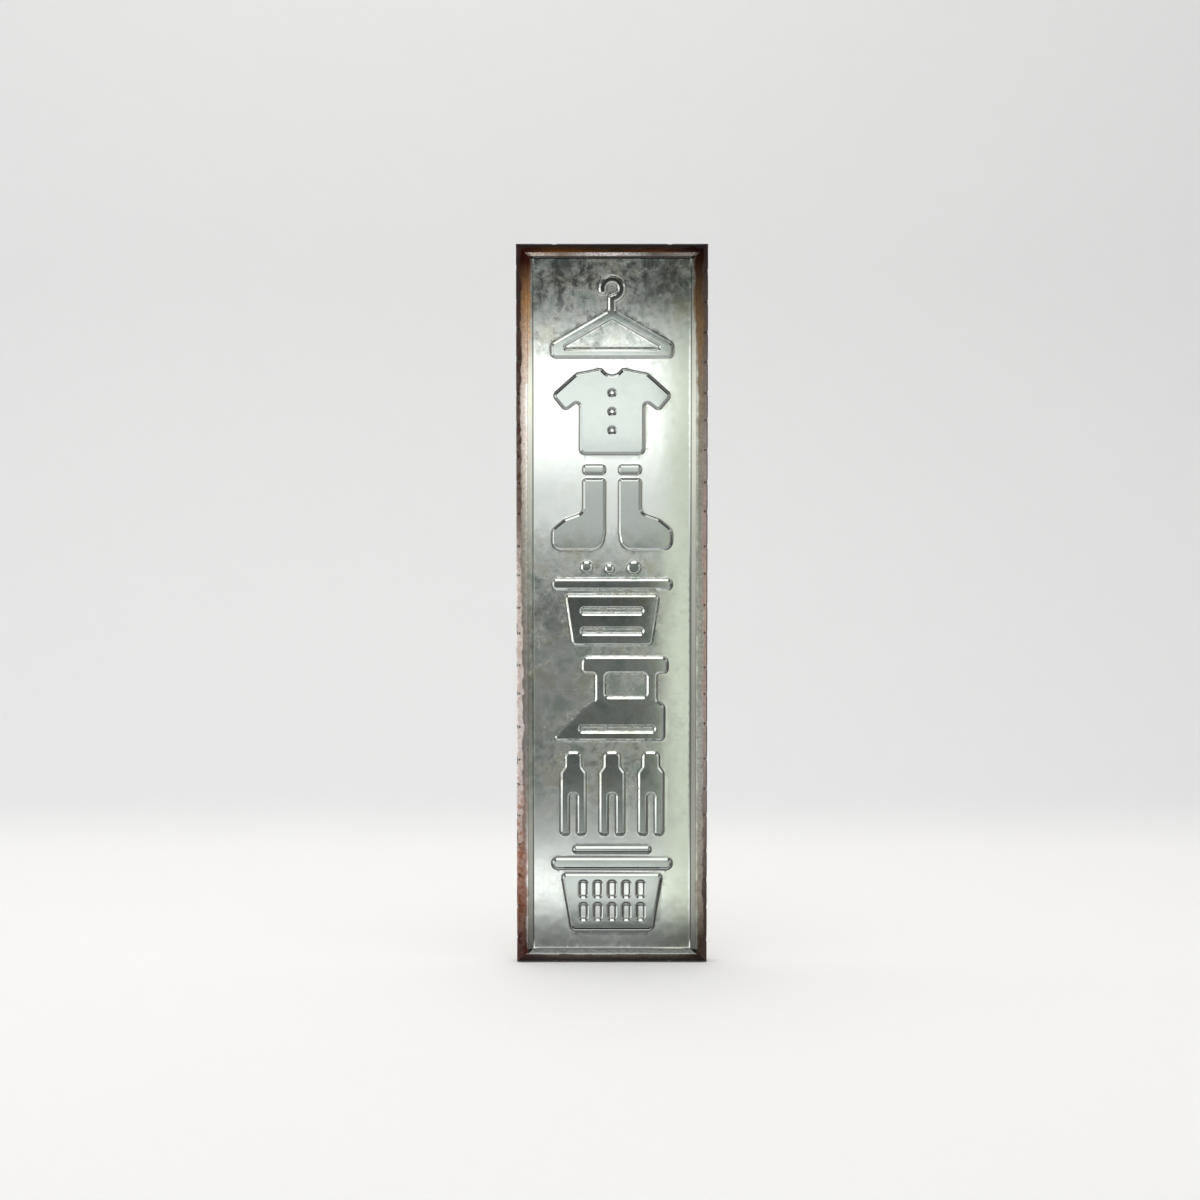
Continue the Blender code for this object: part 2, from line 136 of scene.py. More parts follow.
# Hanger, tacks and staples; a tack's head is (radius, height) points in millimetres, from its crown down
WIRE_RADIUS = 1.0 * MM
RING_HALF_WIDTH = 8.0 * MM
RING_CORNER = 2.5 * MM
WIRE_SIDES = 16
TACK_SIDES = 16
TACK_HEAD = ((0, 0), (0.9, -0.06), (1.7, -0.2), (2.2, -0.38), (2.35, -0.5), (2.2, -0.58), (0.7, -0.6))
TACK_SHANK, TACK_POINT = 0.65 * MM, 2 * MM
STAPLE_CROWN = 11.0 * MM
STAPLE_WIDE = 1.3 * MM
STAPLE_THICK = 0.7 * MM
STAPLE_SINK = 0.3 * STAPLE_THICK
STAPLE_LEAN = 9
STAPLE_SHARES = (0.27, 0.71)

# Screw, in shares of its head's radius: its flat and cross recess, and rings as (radius, share of length)
SCREW_SIDES = 24
SCREW_FLAT = 0.62
CROSS_HALF_WIDTH, CROSS_REACH, CROSS_DEPTH, CROSS_TAPER = 0.13, 0.46, 0.42, 0.55
SCREW_RINGS = ((0.86, 0.05), (0.99, 0.11), (1.0, 0.145), (0.42, 0.15), (0.40, 0.8), (0.0, 1.0))

# The rim's tints and its duller outer edge: along a side from the sign's bottom, 0, to its top, 1, and
# across an end from its left, 0, to its right, 1
LEFT_TINTS = [(0.02, "#5a322c"), (0.12, "#cca494"), (0.3, "#c6bab6"), (0.6, "#c8c2b6"), (0.78, "#f2e4da"),
              (0.92, "#bc9066"), (0.975, "#45201c")]
# The left side's oxide is pale cream from 0.28 to 0.54 up: a painted highlight of the fold over oxide
# colours
LEFT_OXIDES_AND_HIGHLIGHT = [(0.02, "#5a3a34"), (0.12, "#bb9480"), (0.28, "#faf0ee"), (0.54, "#f0e4da"),
               (0.62, "#8c786e"), (0.78, "#66564b"), (0.96, "#2a1e18")]
RIGHT_TINTS = [(0.03, "#66564a"), (0.09, "#c8bcae"), (0.3, "#dededc"), (0.48, "#d2d2ca"), (0.64, "#a8a8a0"),
               (0.88, "#94785a"), (0.98, "#38221a")]
RIGHT_OXIDES = [(0.03, "#453830"), (0.1, "#5c5048"), (0.3, "#b4a8a0"), (0.5, "#ccb0a2"), (0.72, "#b2a8a2"),
                (0.88, "#6c5e54"), (0.985, "#241813")]
TOP_TINTS = [(0.06, "#3c1c18"), (0.2, "#5e3c20"), (0.5, "#3c281a"), (0.75, "#4a3020"), (0.95, "#2a1416")]
# Painted highlight along the top's crest: its colours across the top, from left to right
TOP_CREST_HIGHLIGHT = [(0.12, "#c4bbaf"), (0.24, "#7b746b"), (0.42, "#cfcac6"), (0.5, "#dad8d2"), (0.6, "#b5b6af"),
             (0.72, "#5a5a56"), (0.85, "#8a8981")]
BOTTOM_TINTS = [(0.03, "#5a2a24"), (0.1, "#5e4a42"), (0.22, "#7c6e64"), (0.4, "#786e62"), (0.6, "#62594e"),
                (0.8, "#665e53"), (0.95, "#3f2f27")]
# Left rust patches turn pale cream from 0.28 to 0.48 up, keeping the painted highlight of the fold
LEFT_RUST_AND_HIGHLIGHT = [(0.03, "#4a1d1c"), (0.1, "#966044"), (0.2, "#b5806a"), (0.28, "#e6d8d0"), (0.48, "#e2d0c6"),
             (0.66, "#5c3c32"), (0.97, "#3a1818")]
# How far the dull edge reaches in on the left, as a share of its greatest reach
LEFT_REACH = [(0.1, 1.0), (0.2, 0.5), (0.42, 0.5), (0.55, 0.0)]

# Camera, in the photograph's frame
FRAME_SPAN = 1.3346
CAMERA_DISTANCE = 2.5
CAMERA_TILT = math.radians(2.7)
FRAME_CENTRE = Vector((-13.3 * MM, -DEPTH, 6.0 * MM))

# Studio: a floor that sweeps up to a wall, a curved light screen that stands behind the camera and changes
# at these turns from its middle, in degrees, and a light overhead
FLOOR_Z = SHEET_LOW.z - 0.5 * MM
FLOOR_FRONT = -3.4
SWEEP_START = 1.2
SWEEP_RADIUS = 1.0
SWEEP_HALF_WIDTH = 5.0
WALL_TOP = 5.0
OVERHEAD_PLACE = Vector((-0.3, -0.2, 3.0))
OVERHEAD_SIZE = (3.0, 2.4)
OVERHEAD_RADIANCE = 2.4
PAINT_START, PAINT_END = 0.7, 1.4
SCREEN_RADIUS = 4.5
SCREEN_BOTTOM, SCREEN_TOP = -2.0, 7.2
SCREEN_HALF_TURN = math.radians(98)
FLAG_TURNS, SIDE_TURNS, WING_TURNS = (3.6, 5), (40, 56), (77, 79)
FLAG_SHARE = 0.35
UPPER_START = 1.25
STRIP_START, STRIP_END = 49 * MM, 62 * MM

# The light screen's brightness at the heights that the sign mirrors, from its bottom, 0, to its top, 1:
# in front of the field's left and right parts, and at the two sides, which the rim's slopes mirror
BRIGHTEST = 2.4
FRONT_LEFT = [(0.055, 0.15), (0.08, 1.7), (0.12, 2.0), (0.16, 0.75), (0.27, 0.18), (0.42, 0.36),
              (0.5, 0.12), (0.55, 0.22), (0.6, 1.15), (0.66, 1.05), (0.75, 2.3), (0.86, 2.0),
              (0.892, 0.3), (0.925, 0.05)]
FRONT_RIGHT = [(0.05, 0.1), (0.1, 1.5), (0.14, 1.05), (0.33, 1.2), (0.5, 1.16), (0.7, 0.92), (0.8, 1.12),
               (0.86, 0.88), (0.895, 0.4), (0.93, 0.05)]
SIDE_LEFT = [(0.02, 0.1), (0.08, 0.6), (0.14, 0.6), (0.32, 0.42), (0.44, 0.55), (0.6, 0.75), (0.69, 1.1),
             (0.77, 1.3), (0.85, 1.0), (0.92, 0.3), (0.98, 0.1)]
SIDE_RIGHT = [(0.02, 0.1), (0.1, 0.6), (0.2, 0.5), (0.3, 0.28), (0.46, 0.18), (0.56, 0.5), (0.68, 0.95),
              (0.73, 1.2), (0.78, 1.7), (0.83, 1.5), (0.88, 0.6), (0.93, 0.2), (0.98, 0.06)]
UPPER = [(0.0, 0.06), (0.07, 1.5), (0.17, 1.5), (0.28, 0.2), (1.0, 0.12)]
SCREEN_LIGHTS = (FRONT_LEFT, FRONT_RIGHT, SIDE_LEFT, SIDE_RIGHT, UPPER)
WING_LEFT, WING_RIGHT = 2.4, 0.8


# Small helpers
def srgb(code):
    """A hex colour as the linear values that the shaders take."""
    parts = [int(code[start:start + 2], 16) / 255 for start in (1, 3, 5)]
    return (*(part / 12.92 if part <= 0.04045 else ((part + 0.055) / 1.055) ** 2.4 for part in parts), 1.0)


def per_mm(size):
    """The texture scale that gives features about this many millimetres across."""
    return 1000.0 / size


def node(tree, kind, inputs=(), out=None, stops=(), **settings):
    """Add a shader node with its settings, and give the output named, or else the first one in use.

    The inputs are values, or sockets that feed them, in the order of the node's own or by their names.
    """
    made = tree.nodes.new("ShaderNode" + kind)
    for name, value in settings.items():
        setattr(made, name, value)
    for index, (position, colour) in enumerate(stops):
        elements = made.color_ramp.elements
        element = elements[index] if index < 2 else elements.new(position)
        element.position = position
        element.color = srgb(colour) if isinstance(colour, str) else (colour, colour, colour, 1)
    for socket, value in inputs.items() if isinstance(inputs, dict) else enumerate(inputs):
        if isinstance(value, bpy.types.NodeSocket):
            tree.links.new(value, made.inputs[socket])
        else:
            made.inputs[socket].default_value = srgb(value) if isinstance(value, str) else value
    return made.outputs[out] if out else next(output for output in made.outputs if output.enabled)


def new_material(name):
    material = bpy.data.materials.new(name)
    material.use_nodes = True
    tree = material.node_tree
    return material, partial(node, tree), tree.links.new, tree.nodes["Principled BSDF"].inputs


def add_object(name, bm, material, sharp_angle=None):
    mesh = bpy.data.meshes.new(name)
    bm.to_mesh(mesh)
    bm.free()
    mesh.materials.append(material)
    if sharp_angle:
        mesh.shade_smooth()
        mesh.set_sharp_from_angle(angle=sharp_angle)
    made = bpy.data.objects.new(name, mesh)
    bpy.context.scene.collection.objects.link(made)
    return made


def of_kind(kind, geom):
    return [item for item in geom if isinstance(item, kind)]


verts_of = partial(of_kind, bmesh.types.BMVert)
edges_of = partial(of_kind, bmesh.types.BMEdge)
faces_of = partial(of_kind, bmesh.types.BMFace)


def extruded(bm, edges):
    return bmesh.ops.extrude_edge_only(bm, edges=edges)["geom"]


# Outlines of the pressed pictures, drawn 100 high about their middle
def rounded(corners):
    """Round each (x, z, radius) corner of a closed outline; a corner with no radius stays a point."""
    points = []
    for index, (x, z, *radius) in enumerate(corners):
        here = Vector((x, z))
        if not radius:
            points.append(here)
            continue
        before = (Vector(corners[index - 1][:2]) - here).normalized()
        after = (Vector(corners[(index + 1) % len(corners)][:2]) - here).normalized()
        half = before.angle(after) / 2
        centre = here + (before + after).normalized() * radius[0] / math.sin(half)
        start = here + before * radius[0] / math.tan(half) - centre
        sweep = start.angle_signed(here + after * radius[0] / math.tan(half) - centre)
        steps = max(2, round(abs(math.degrees(sweep)) / ARC_STEP))
        for step in range(steps + 1):
            points.append(centre + Matrix.Rotation(-sweep * step / steps, 2) @ start)
    return points


def arc(x, z, radius, start, end):
    steps = max(2, round(abs(end - start) / ARC_STEP))
    angles = [math.radians(start + (end - start) * step / steps) for step in range(steps + 1)]
    return [(x + radius * math.cos(angle), z + radius * math.sin(angle)) for angle in angles]


def disc(x, z, radius):
    return [Vector(point) for point in arc(x, z, radius, 0, 360)[:-1]]


def bar(left, bottom, right, top, radius):
    corners = ((left, bottom), (right, bottom), (right, top), (left, top))
    return rounded([(x, z, radius) for x, z in corners])


def mirrored(half):
    """Close an outline from its right half, drawn from the top down."""
    return half + [(-x, z, *radius) for x, z, *radius in reversed(half)]


def hanger():
    hook_z, hook_out, hook_in, tip = 31.0, 16.0, 6.5, 190.0
    neck, middle = (hook_out - hook_in) / 2, (hook_out + hook_in) / 2
    tip_x, tip_z = arc(0, hook_z, middle, tip, tip)[0]
    outline = [(-neck, 5, 4), (-neck, 22, 4)]
    outline += arc(0, hook_z, hook_in, -90, tip)
    outline += arc(tip_x, tip_z, neck, tip - 180, tip - 360)[1:-1]
    outline += arc(0, hook_z, hook_out, tip, -73)
    outline += [(neck, 5, 4), (72, -34, 6), (72, -50, 6), (-72, -50, 6), (-72, -34, 6)]
    opening = [(0, -4, 3), (62, -40, 2.5), (-62, -40, 2.5)]
    return [(rounded(outline), [rounded(opening)])]


def shirt():
    half = [(13, 50, 3.8), (42, 44, 8), (70, 19, 5), (55, 1, 5), (38, 14, 4), (38, -50, 6)]
    outline = mirrored(half) + [(0, 37, 12)]
    buttons = [disc(0, z, 3.2) for z in (22, 0, -22)]
    return [(rounded(outline), buttons)]


def socks():
    shapes = []
    for side in (1, -1):
        foot = [(8, 34, 3.5), (34, 34, 3.5), (34, -6, 10), (56, -14, 8)]
        foot += [(71, -26, 12), (71, -50, 11), (12, -50, 14), (8, -30, 8)]
        cuff = [(8, 40, 3.5), (34, 40, 3.5), (34, 50, 3.5), (8, 50, 3.5)]
        for corners in (foot, cuff):
            shapes.append((rounded([(side * x, z, radius) for x, z, radius in corners]), []))
    return shapes


def washtub():
    body = [(56, 10, 5), (47, -50, 6), (-47, -50, 6), (-56, 10, 5)]
    hoops = [bar(-36, z, 36, z + 6, 2.9) for z in (-12, -36)]
    shapes = [(rounded(body), hoops), (bar(-71, 16, 71, 29, 6), [])]
    shapes += [(disc(x, z, radius), []) for x, z, radius in ((-30, 43, 7), (-3, 41, 5.5), (26, 42, 8))]
    return shapes


def flat_iron():
    outline = [(-73, -50, 3.8), (62, -50, 6), (62, -8, 8), (53, -2, 4), (53, 30, 3.5), (66, 30, 6)]
    outline += [(66, 50, 8), (-36, 50, 8), (-36, 30, 6), (-20, 30, 3.5), (-20, -2, 5), (-36, -12, 22)]
    grip_opening = bar(-8, 2, 41, 30, 5)
    sole_line = bar(-38, -39, 50, -33, 2.9)
    return [(rounded(outline), [grip_opening, sole_line])]


def pegs():
    shapes = []
    for middle in (-46, 0, 46):
        half = [(10, 50, 7), (10, 32, 4), (15, 25, 4), (15, -50, 5), (4.5, -50, 3.5), (4.5, 0, 3.8)]
        shapes.append((rounded([(middle + x, z, radius) for x, z, radius in mirrored(half)]), []))
    return shapes


def basket():
    body = [(60, 17, 5), (48, -50, 6), (-48, -50, 6), (-60, 17, 5)]
    slots = [bar(x - 4, z, x + 4, z + 18, 3) for x in (-34, -17, 0, 17, 34) for z in (-37, -10)]
    return [(rounded(body), slots), (bar(-71, 23, 71, 36, 6), []), (bar(-46, 42, 46, 50, 3.6), [])]


PICTURES = (hanger, shirt, socks, washtub, flat_iron, pegs, basket)


# Pressed sheet
def slope_steps(run, rise, angle):
    """Runs and rises of a slope that bends up to this angle, goes straight and bends level again."""
    radius = (run * math.sin(angle) - rise * math.cos(angle)) / (2 * (1 - math.cos(angle)))
    straight = (run - 2 * radius * math.sin(angle)) / math.cos(angle)
    chord = 2 * radius * math.sin(angle / BEND_STEPS / 2)
    tilts = [angle * (step + 0.5) / BEND_STEPS for step in range(BEND_STEPS)]
    bend = [(chord * math.cos(tilt), chord * math.sin(tilt)) for tilt in tilts]
    return [*bend, (straight * math.cos(angle), straight * math.sin(angle)), *reversed(bend)]


def band_corners(side, top, bottom, y):
    """The four corners of a rectangle that lies these distances inside the sheet's outer edges."""
    x = WIDTH / 2 - side
    low, high = -HEIGHT / 2 + bottom, HEIGHT / 2 - top
    return [Vector((-x, y, low)), Vector((x, y, low)), Vector((x, y, high)), Vector((-x, y, high))]


def field_corners():
    return band_corners(*(band + slope for band, slope in zip(BANDS, SLOPES)), FIELD_Y)


def rim_stations():
    """Rectangles from the edge of the field, up the slope, across the rim and round the fold."""
    stations = []
    run = rise = 0.0
    for step_run, step_rise in slope_steps(SLOPES[0], RIM_RISE, RIM_SLOPE_ANGLE):
        run += step_run / SLOPES[0]
        rise += step_rise
        left = 1 - run
        insets = [band + slope * left for band, slope in zip(BANDS, SLOPES)]
        stations.append(band_corners(*insets, FIELD_Y - rise))
    for share in (0.66, 0.33):
        insets = [FOLD_RADIUS + (band - FOLD_RADIUS) * share for band in BANDS]
        stations.append(band_corners(*insets, -DEPTH))
    rounds = [(DOT_INSET + DOT_RADIUS, -DEPTH), (DOT_INSET, -DEPTH)]
    for step in range(FOLD_STEPS + 1):
        angle = math.pi / 2 * step / FOLD_STEPS
        rounds.append((FOLD_RADIUS * (1 - math.sin(angle)), -DEPTH + FOLD_RADIUS * (1 - math.cos(angle))))
    rounds.append((FLANGE_DRAW, -DEPTH + FOLD_RADIUS + DRAW_LENGTH))
    return stations + [band_corners(inset, inset, inset, y) for inset, y in rounds]


def tack_middles(edge):
    return [sum(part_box(name), Vector()) / 2 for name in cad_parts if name.startswith(edge + "_tack")]


def edge_shares(length, middles):
    """Shares along an edge of this length: even steps, and closer points round each tack."""
    even = round(length / EDGE_SPACING)
    wanted = [step / even for step in range(even)]
    wanted += [0.5 + (middle + sample) / length for middle in middles for sample in DENT_SAMPLES]
    shares = [0.0]
    for share in sorted(wanted):
        if shares[-1] + EDGE_LEAST / length < share < 1 - EDGE_LEAST / length:
            shares.append(share)
    return shares


def new_loop(bm, points):
    verts = [bm.verts.new(point) for point in points]
    return [bm.edges.new((vert, verts[index - 1])) for index, vert in enumerate(verts)]


def fill(bm, edges, normal=(0, -1, 0)):
    return faces_of(bmesh.ops.triangle_fill(bm, use_beauty=True, edges=edges, normal=normal)["geom"])


def sink_region(bm, faces, run, rise):
    bmesh.ops.inset_region(
        bm, faces=faces, thickness=run, depth=rise, use_boundary=True, use_even_offset=True
    )


def field_border(field):
    """Points round the edge of the field, closer together beside each tack."""
    points = []
    edges = (("bottom", 0, 1), ("right", 2, 1), ("top", 0, -1), ("left", 2, -1))
    for index, (edge, axis, sign) in enumerate(edges):
        start, end = field[index], field[(index + 1) % 4]
        length = HEIGHT if axis else WIDTH
        shares = edge_shares(length, [sign * place[axis] for place in tack_middles(edge)])
        points += [start.lerp(end, share) for share in shares]
    return points


def cut_by_grid(bm, faces):
    """Cut level faces by a grid, so that values can change across them."""
    edges = {edge for face in faces for edge in face.edges}
    geom = [*faces, *edges, *{vert for face in faces for vert in face.verts}]
    for normal, reach in ((Vector((1, 0, 0)), WIDTH / 2), (Vector((0, 0, 1)), HEIGHT / 2)):
        steps = int(reach / GRID)
        for step in range(-steps, steps + 1):
            place = normal * step * GRID
            cut = bmesh.ops.bisect_plane(bm, geom=geom, dist=MERGE, plane_co=place, plane_no=normal)
            geom = cut["geom"]


def keep_nearness(bm, near, outlines):
    """Keep, at each point, how near it is to a picture's outline: 1 on it, 0 beyond its halo."""
    along = []
    for points in outlines:
        for start, end in zip(points, points[1:] + points[:1]):
            count = max(1, round((end - start).length / OUTLINE_STEP))
            along += [start.lerp(end, step / count) for step in range(count)]
    tree = kdtree.KDTree(len(along))
    for index, point in enumerate(along):
        tree.insert(point, index)
    tree.balance()
    for vert in bm.verts:
        _, _, distance = tree.find((vert.co.x, FIELD_Y, vert.co.z))
        vert[near] = max(0.0, 1 - distance / HALO)


def field_skin(bm, height, near):
    """The field with its raised pictures, whose height is also kept as a value for the material."""
    field = field_corners()
    low, high = field[0].z + COLUMN_BOTTOM_MARGIN, field[2].z - COLUMN_TOP_MARGIN
    pitch = (high - low + PICTURE_GAP) / len(PICTURES)
    width = 2 * (field[2].x - PICTURE_SIDE_MARGIN)
    scale = min((pitch - PICTURE_GAP) / DRAWN_HEIGHT, width / DRAWN_WIDTH)
    around, raised, level, outlines = new_loop(bm, field_border(field)), [], [], []
    for index, picture in enumerate(PICTURES):
        middle = high - (pitch - PICTURE_GAP) / 2 - pitch * index
        for outline, openings in picture():
            loops = []
            for points in [outline, *openings]:
                outlines.append([Vector((p.x * scale, FIELD_Y, middle + p.y * scale)) for p in points])
                loops.append(new_loop(bm, outlines[-1]))
            around += loops[0]
            raised += fill(bm, sum(loops, []))
            for opening in loops[1:]:
                level += fill(bm, opening)
    level += fill(bm, around)
    for face in bm.faces:
        if face.normal.y > 0:
            face.normal_flip()
    for step_run, step_rise in slope_steps(PICTURE_SLOPE, PICTURE_RISE, PICTURE_SLOPE_ANGLE):
        sink_region(bm, raised, step_run, step_rise)
    for vert in bm.verts:
        vert[height] = (FIELD_Y - vert.co.y) / PICTURE_RISE
    for step in range(SAG_STEPS):
        sink_region(bm, level, SAG_RUN, -SAG / 2 ** (step + 1))
    cut_by_grid(bm, level)
    keep_nearness(bm, near, outlines)


def move_to(vert, old, new):
    """Carry a point of one rectangle to the same share along another."""
    for axis in (0, 2):
        share = (vert.co[axis] - old[0][axis]) / (old[2][axis] - old[0][axis])
        vert.co[axis] = new[0][axis] + (new[2][axis] - new[0][axis]) * share
    vert.co.y = new[0].y


def fold_flanges(bm, last):
    """Each edge of the sheet folded back to the wall plane, its ends notched clear of the next fold."""
    edges = [edge for edge in bm.edges if edge.is_boundary]
    for axis, sign in ((2, -1), (0, 1), (2, 1), (0, -1)):
        line = last[2][axis] if sign > 0 else last[0][axis]
        along = 2 - axis
        side = [edge for edge in edges if all(abs(vert.co[axis] - line) < MERGE for vert in edge.verts)]
        verts = verts_of(extruded(bm, side))
        for vert in verts:
            vert.co.y = 0
        for end in (min(verts, key=lambda v: v.co[along]), max(verts, key=lambda v: v.co[along])):
            end.co[along] -= math.copysign(CORNER_NOTCH, end.co[along])


def dent_edges(bm, dent, dot):
    """Pull the folded edge in a little at each tack, and let it waver between them."""
    sides, ends = tack_middles("left") + tack_middles("right"), tack_middles("top") + tack_middles("bottom")
    tacks = {0: ends, 2: sides}
    for vert in bm.verts:
        x, y, z = vert.co
        gaps = {0: WIDTH / 2 - abs(x), 2: HEIGHT / 2 - abs(z)}
        across = min(gaps, key=gaps.get)
        along = 2 - across
        fade = max(0.0, 1 - gaps[across] / DENT_FADE) ** 2
        if not fade:
            continue
        near = [tack for tack in tacks[along] if tack[across] * vert.co[across] > 0]
        gap = min((abs(tack[along] - vert.co[along]) for tack in near), default=1.0)
        off = (gaps[across] - DOT_INSET) / DOT_RADIUS
        vert[dot] = math.exp(-((gap / DOT_RADIUS) ** 2) - off * off) if y < FIELD_Y else 0.0
        vert[dent] = fade * math.exp(-((gap / DENT_WIDTH) ** 2) - ((y - DENT_Y) / DENT_REACH) ** 2)
        wave = 0.5 + 0.5 * noise.noise(Vector((x * WAVES_ACROSS, z * WAVES_ALONG, 0)))
        inward = DENT_DEPTH * vert[dent] + EDGE_WAVE * fade * wave
        vert.co[across] -= math.copysign(inward, vert.co[across])
        vert.co.y = min(0.0, y + 0.4 * DENT_DEPTH * vert[dent])


def make_face_sheet(material):
    bm = bmesh.new()
    height, dent, near, dot = [bm.verts.layers.float.new(name) for name in VALUES]
    field_skin(bm, height, near)
    old = field_corners()
    for new in rim_stations():
        for vert in verts_of(extruded(bm, [edge for edge in bm.edges if edge.is_boundary])):
            move_to(vert, old, new)
        old = new
    fold_flanges(bm, old)
    bmesh.ops.recalc_face_normals(bm, faces=bm.faces)
    if min(bm.faces, key=lambda f: f.calc_center_median().length).normal.y > 0:
        bmesh.ops.reverse_faces(bm, faces=bm.faces)
    dent_edges(bm, dent, dot)
    sheet = add_object("pressed_face_sheet", bm, material, SHARP_ANGLE)
    wall = sheet.modifiers.new("sheet thickness", "SOLIDIFY")
    wall.thickness = SHEET
    wall.offset = -1
    wall.use_even_offset = True
    level = sheet.modifiers.new("flat faces stay flat", "WEIGHTED_NORMAL")
    level.keep_sharp = True
    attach(sheet, "sign")
    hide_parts("face_sheet")


# Fasteners and hanger
def turned(profile, sides, place):
    """Turn a profile of (radius, height) points about Z, close its poles and move it to its place."""
    bm = bmesh.new()
    verts = [bm.verts.new((radius, 0.0, height)) for radius, height in profile]
    edges = [bm.edges.new(pair) for pair in zip(verts, verts[1:])]
    bmesh.ops.spin(
        bm, geom=verts + edges, cent=(0, 0, 0), axis=(0, 0, 1), angle=math.tau, steps=sides, use_merge=True
    )
    bmesh.ops.remove_doubles(bm, verts=bm.verts[:], dist=MERGE)
    bmesh.ops.transform(bm, matrix=place, verts=bm.verts[:])
    bmesh.ops.recalc_face_normals(bm, faces=bm.faces)
    return bm


def make_tacks(material):
    """A domed, hammered head and a tapering shank in the place of each plain tack."""
    for name in [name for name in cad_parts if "_tack_" in name]:
        low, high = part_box(name)
        middle = (low + high) / 2
        edge = name.split("_")[0]
        out = Vector({"left": (-1, 0, 0), "right": (1, 0, 0), "top": (0, 0, 1), "bottom": (0, 0, -1)}[edge])
        tip = Vector([(middle, high, low)[int(out[axis])][axis] for axis in range(3)])
        length = max(high - low)
        place = Matrix.Translation(tip) @ Vector((0, 0, 1)).rotation_difference(out).to_matrix().to_4x4()
        profile = [(radius * MM, height * MM) for radius, height in TACK_HEAD]
        profile += [(TACK_SHANK, TACK_POINT - length), (0, -length)]
        bm = turned(profile, TACK_SIDES, place)
        tack = add_object(name.replace("tack", "blued_tack"), bm, material, SHARP_ANGLE * 2)
        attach(tack, "sign")
        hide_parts(name)


def make_ring(material):
    """A D of wire: a circle drawn along the bar, round one corner, the bow and the other corner."""
    low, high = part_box("hanger_ring")
    bar_z, bar_y = high.z - WIRE_RADIUS, (low.y + high.y) / 2
    straight = RING_HALF_WIDTH - RING_CORNER
    bow_z = bar_z - RING_CORNER
    bm = bmesh.new()
    start = Matrix.Translation((-straight, bar_y, bar_z)) @ Matrix.Rotation(math.pi / 2, 4, "Y")
    bmesh.ops.create_circle(bm, segments=WIRE_SIDES, radius=WIRE_RADIUS, matrix=start)
    grown = extruded(bm, bm.edges[:])
    bmesh.ops.translate(bm, verts=verts_of(grown), vec=(2 * straight, 0, 0))
    geom = verts_of(grown) + [e for e in edges_of(grown) if abs(e.verts[0].co.x - e.verts[1].co.x) < MERGE]
    for x, sweep, steps in ((straight, 90, 8), (0, 180, 28), (-straight, 90, 8)):
        turn = bmesh.ops.spin(
            bm, geom=geom, cent=(x, bar_y, bow_z), axis=(0, 1, 0), angle=math.radians(sweep), steps=steps
        )
        geom = turn["geom_last"]
    bmesh.ops.remove_doubles(bm, verts=bm.verts[:], dist=MERGE * 10)
    bmesh.ops.recalc_face_normals(bm, faces=bm.faces)
    ring = add_object("wire_hanger_ring", bm, material, SHARP_ANGLE * 2)
    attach(ring, "ring")
    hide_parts("hanger_ring")


def make_screw(material):
    """A pan-head screw with a cross recess, sunk from the flat of its head."""
    low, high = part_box("hanger_screw")
    radius = (high.x - low.x) / 2
    length = high.y - low.y
    middle = (low + high) / 2
    bm = bmesh.new()
    flat, reach, slot = SCREW_FLAT * radius, CROSS_REACH * radius, CROSS_HALF_WIDTH * radius
    angles = [math.tau * step / SCREW_SIDES for step in range(SCREW_SIDES)]
    rim = [Vector((flat * math.cos(angle), flat * math.sin(angle), 0)) for angle in angles]
    cross = []
    for quarter in range(4):
        turn = Matrix.Rotation(quarter * math.pi / 2, 3, "Z")
        cross += [turn @ Vector(point) for point in ((reach, -slot, 0), (reach, slot, 0), (slot, slot, 0))]
    rim_edges, cross_edges = new_loop(bm, rim), new_loop(bm, cross)
    fill(bm, rim_edges + cross_edges, (0, 0, 1))
    deeper = extruded(bm, cross_edges)
    for vert in verts_of(deeper):
        vert.co = (vert.co.x * CROSS_TAPER, vert.co.y * CROSS_TAPER, -CROSS_DEPTH * radius)
    floor_edges = [e for e in edges_of(deeper) if all(v.co.z < -MERGE for v in e.verts)]
    bmesh.ops.contextual_create(bm, geom=floor_edges)
    for ring_radius, depth in SCREW_RINGS:
        for vert in verts_of(extruded(bm, [edge for edge in bm.edges if edge.is_boundary])):
            flat_place = Vector((vert.co.x, vert.co.y)).normalized() * ring_radius * radius
            vert.co = (flat_place.x, flat_place.y, -depth * length)
    bmesh.ops.remove_doubles(bm, verts=bm.verts[:], dist=MERGE)
    bmesh.ops.recalc_face_normals(bm, faces=bm.faces)
    place = Matrix.Translation((middle.x, high.y, middle.z)) @ Matrix.Rotation(-math.pi / 2, 4, "X")
    bmesh.ops.transform(bm, matrix=place, verts=bm.verts[:])
    screw = add_object("cross_head_screw", bm, material, SHARP_ANGLE * 1.5)
    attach(screw, "sign")
    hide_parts("hanger_screw")


def make_staples(material):
    """Two flat-crowned staples across each butt joint at the back of the frame."""
    joint_x = (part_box("left_stile")[1].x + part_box("top_rail")[0].x) / 2
    for rail in ("top_rail", "middle_rail", "bottom_rail"):
        low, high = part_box(rail)
        for side, edge in ((-1, "right"), (1, "left")):
            for index, share in enumerate(STAPLE_SHARES):
                z = low.z + (high.z - low.z) * share
                bm = bmesh.new()
                size = Matrix.Diagonal((STAPLE_CROWN, STAPLE_THICK, STAPLE_WIDE, 1))
                lean = Matrix.Rotation(math.radians(STAPLE_LEAN * (index - 0.5) * side), 4, "Y")
                place = Matrix.Translation((-side * abs(joint_x), STAPLE_SINK, z)) @ lean
                bmesh.ops.create_cube(bm, size=1.0, matrix=place @ size)
                bmesh.ops.bevel(
                    bm, geom=bm.edges[:], offset=STAPLE_SINK, segments=2, profile=0.5,
                    affect="EDGES", material=-1,
                )
                staple = add_object(f"{rail}_{edge}_staple_{index + 1}", bm, material, SHARP_ANGLE * 2)
                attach(staple, "sign")


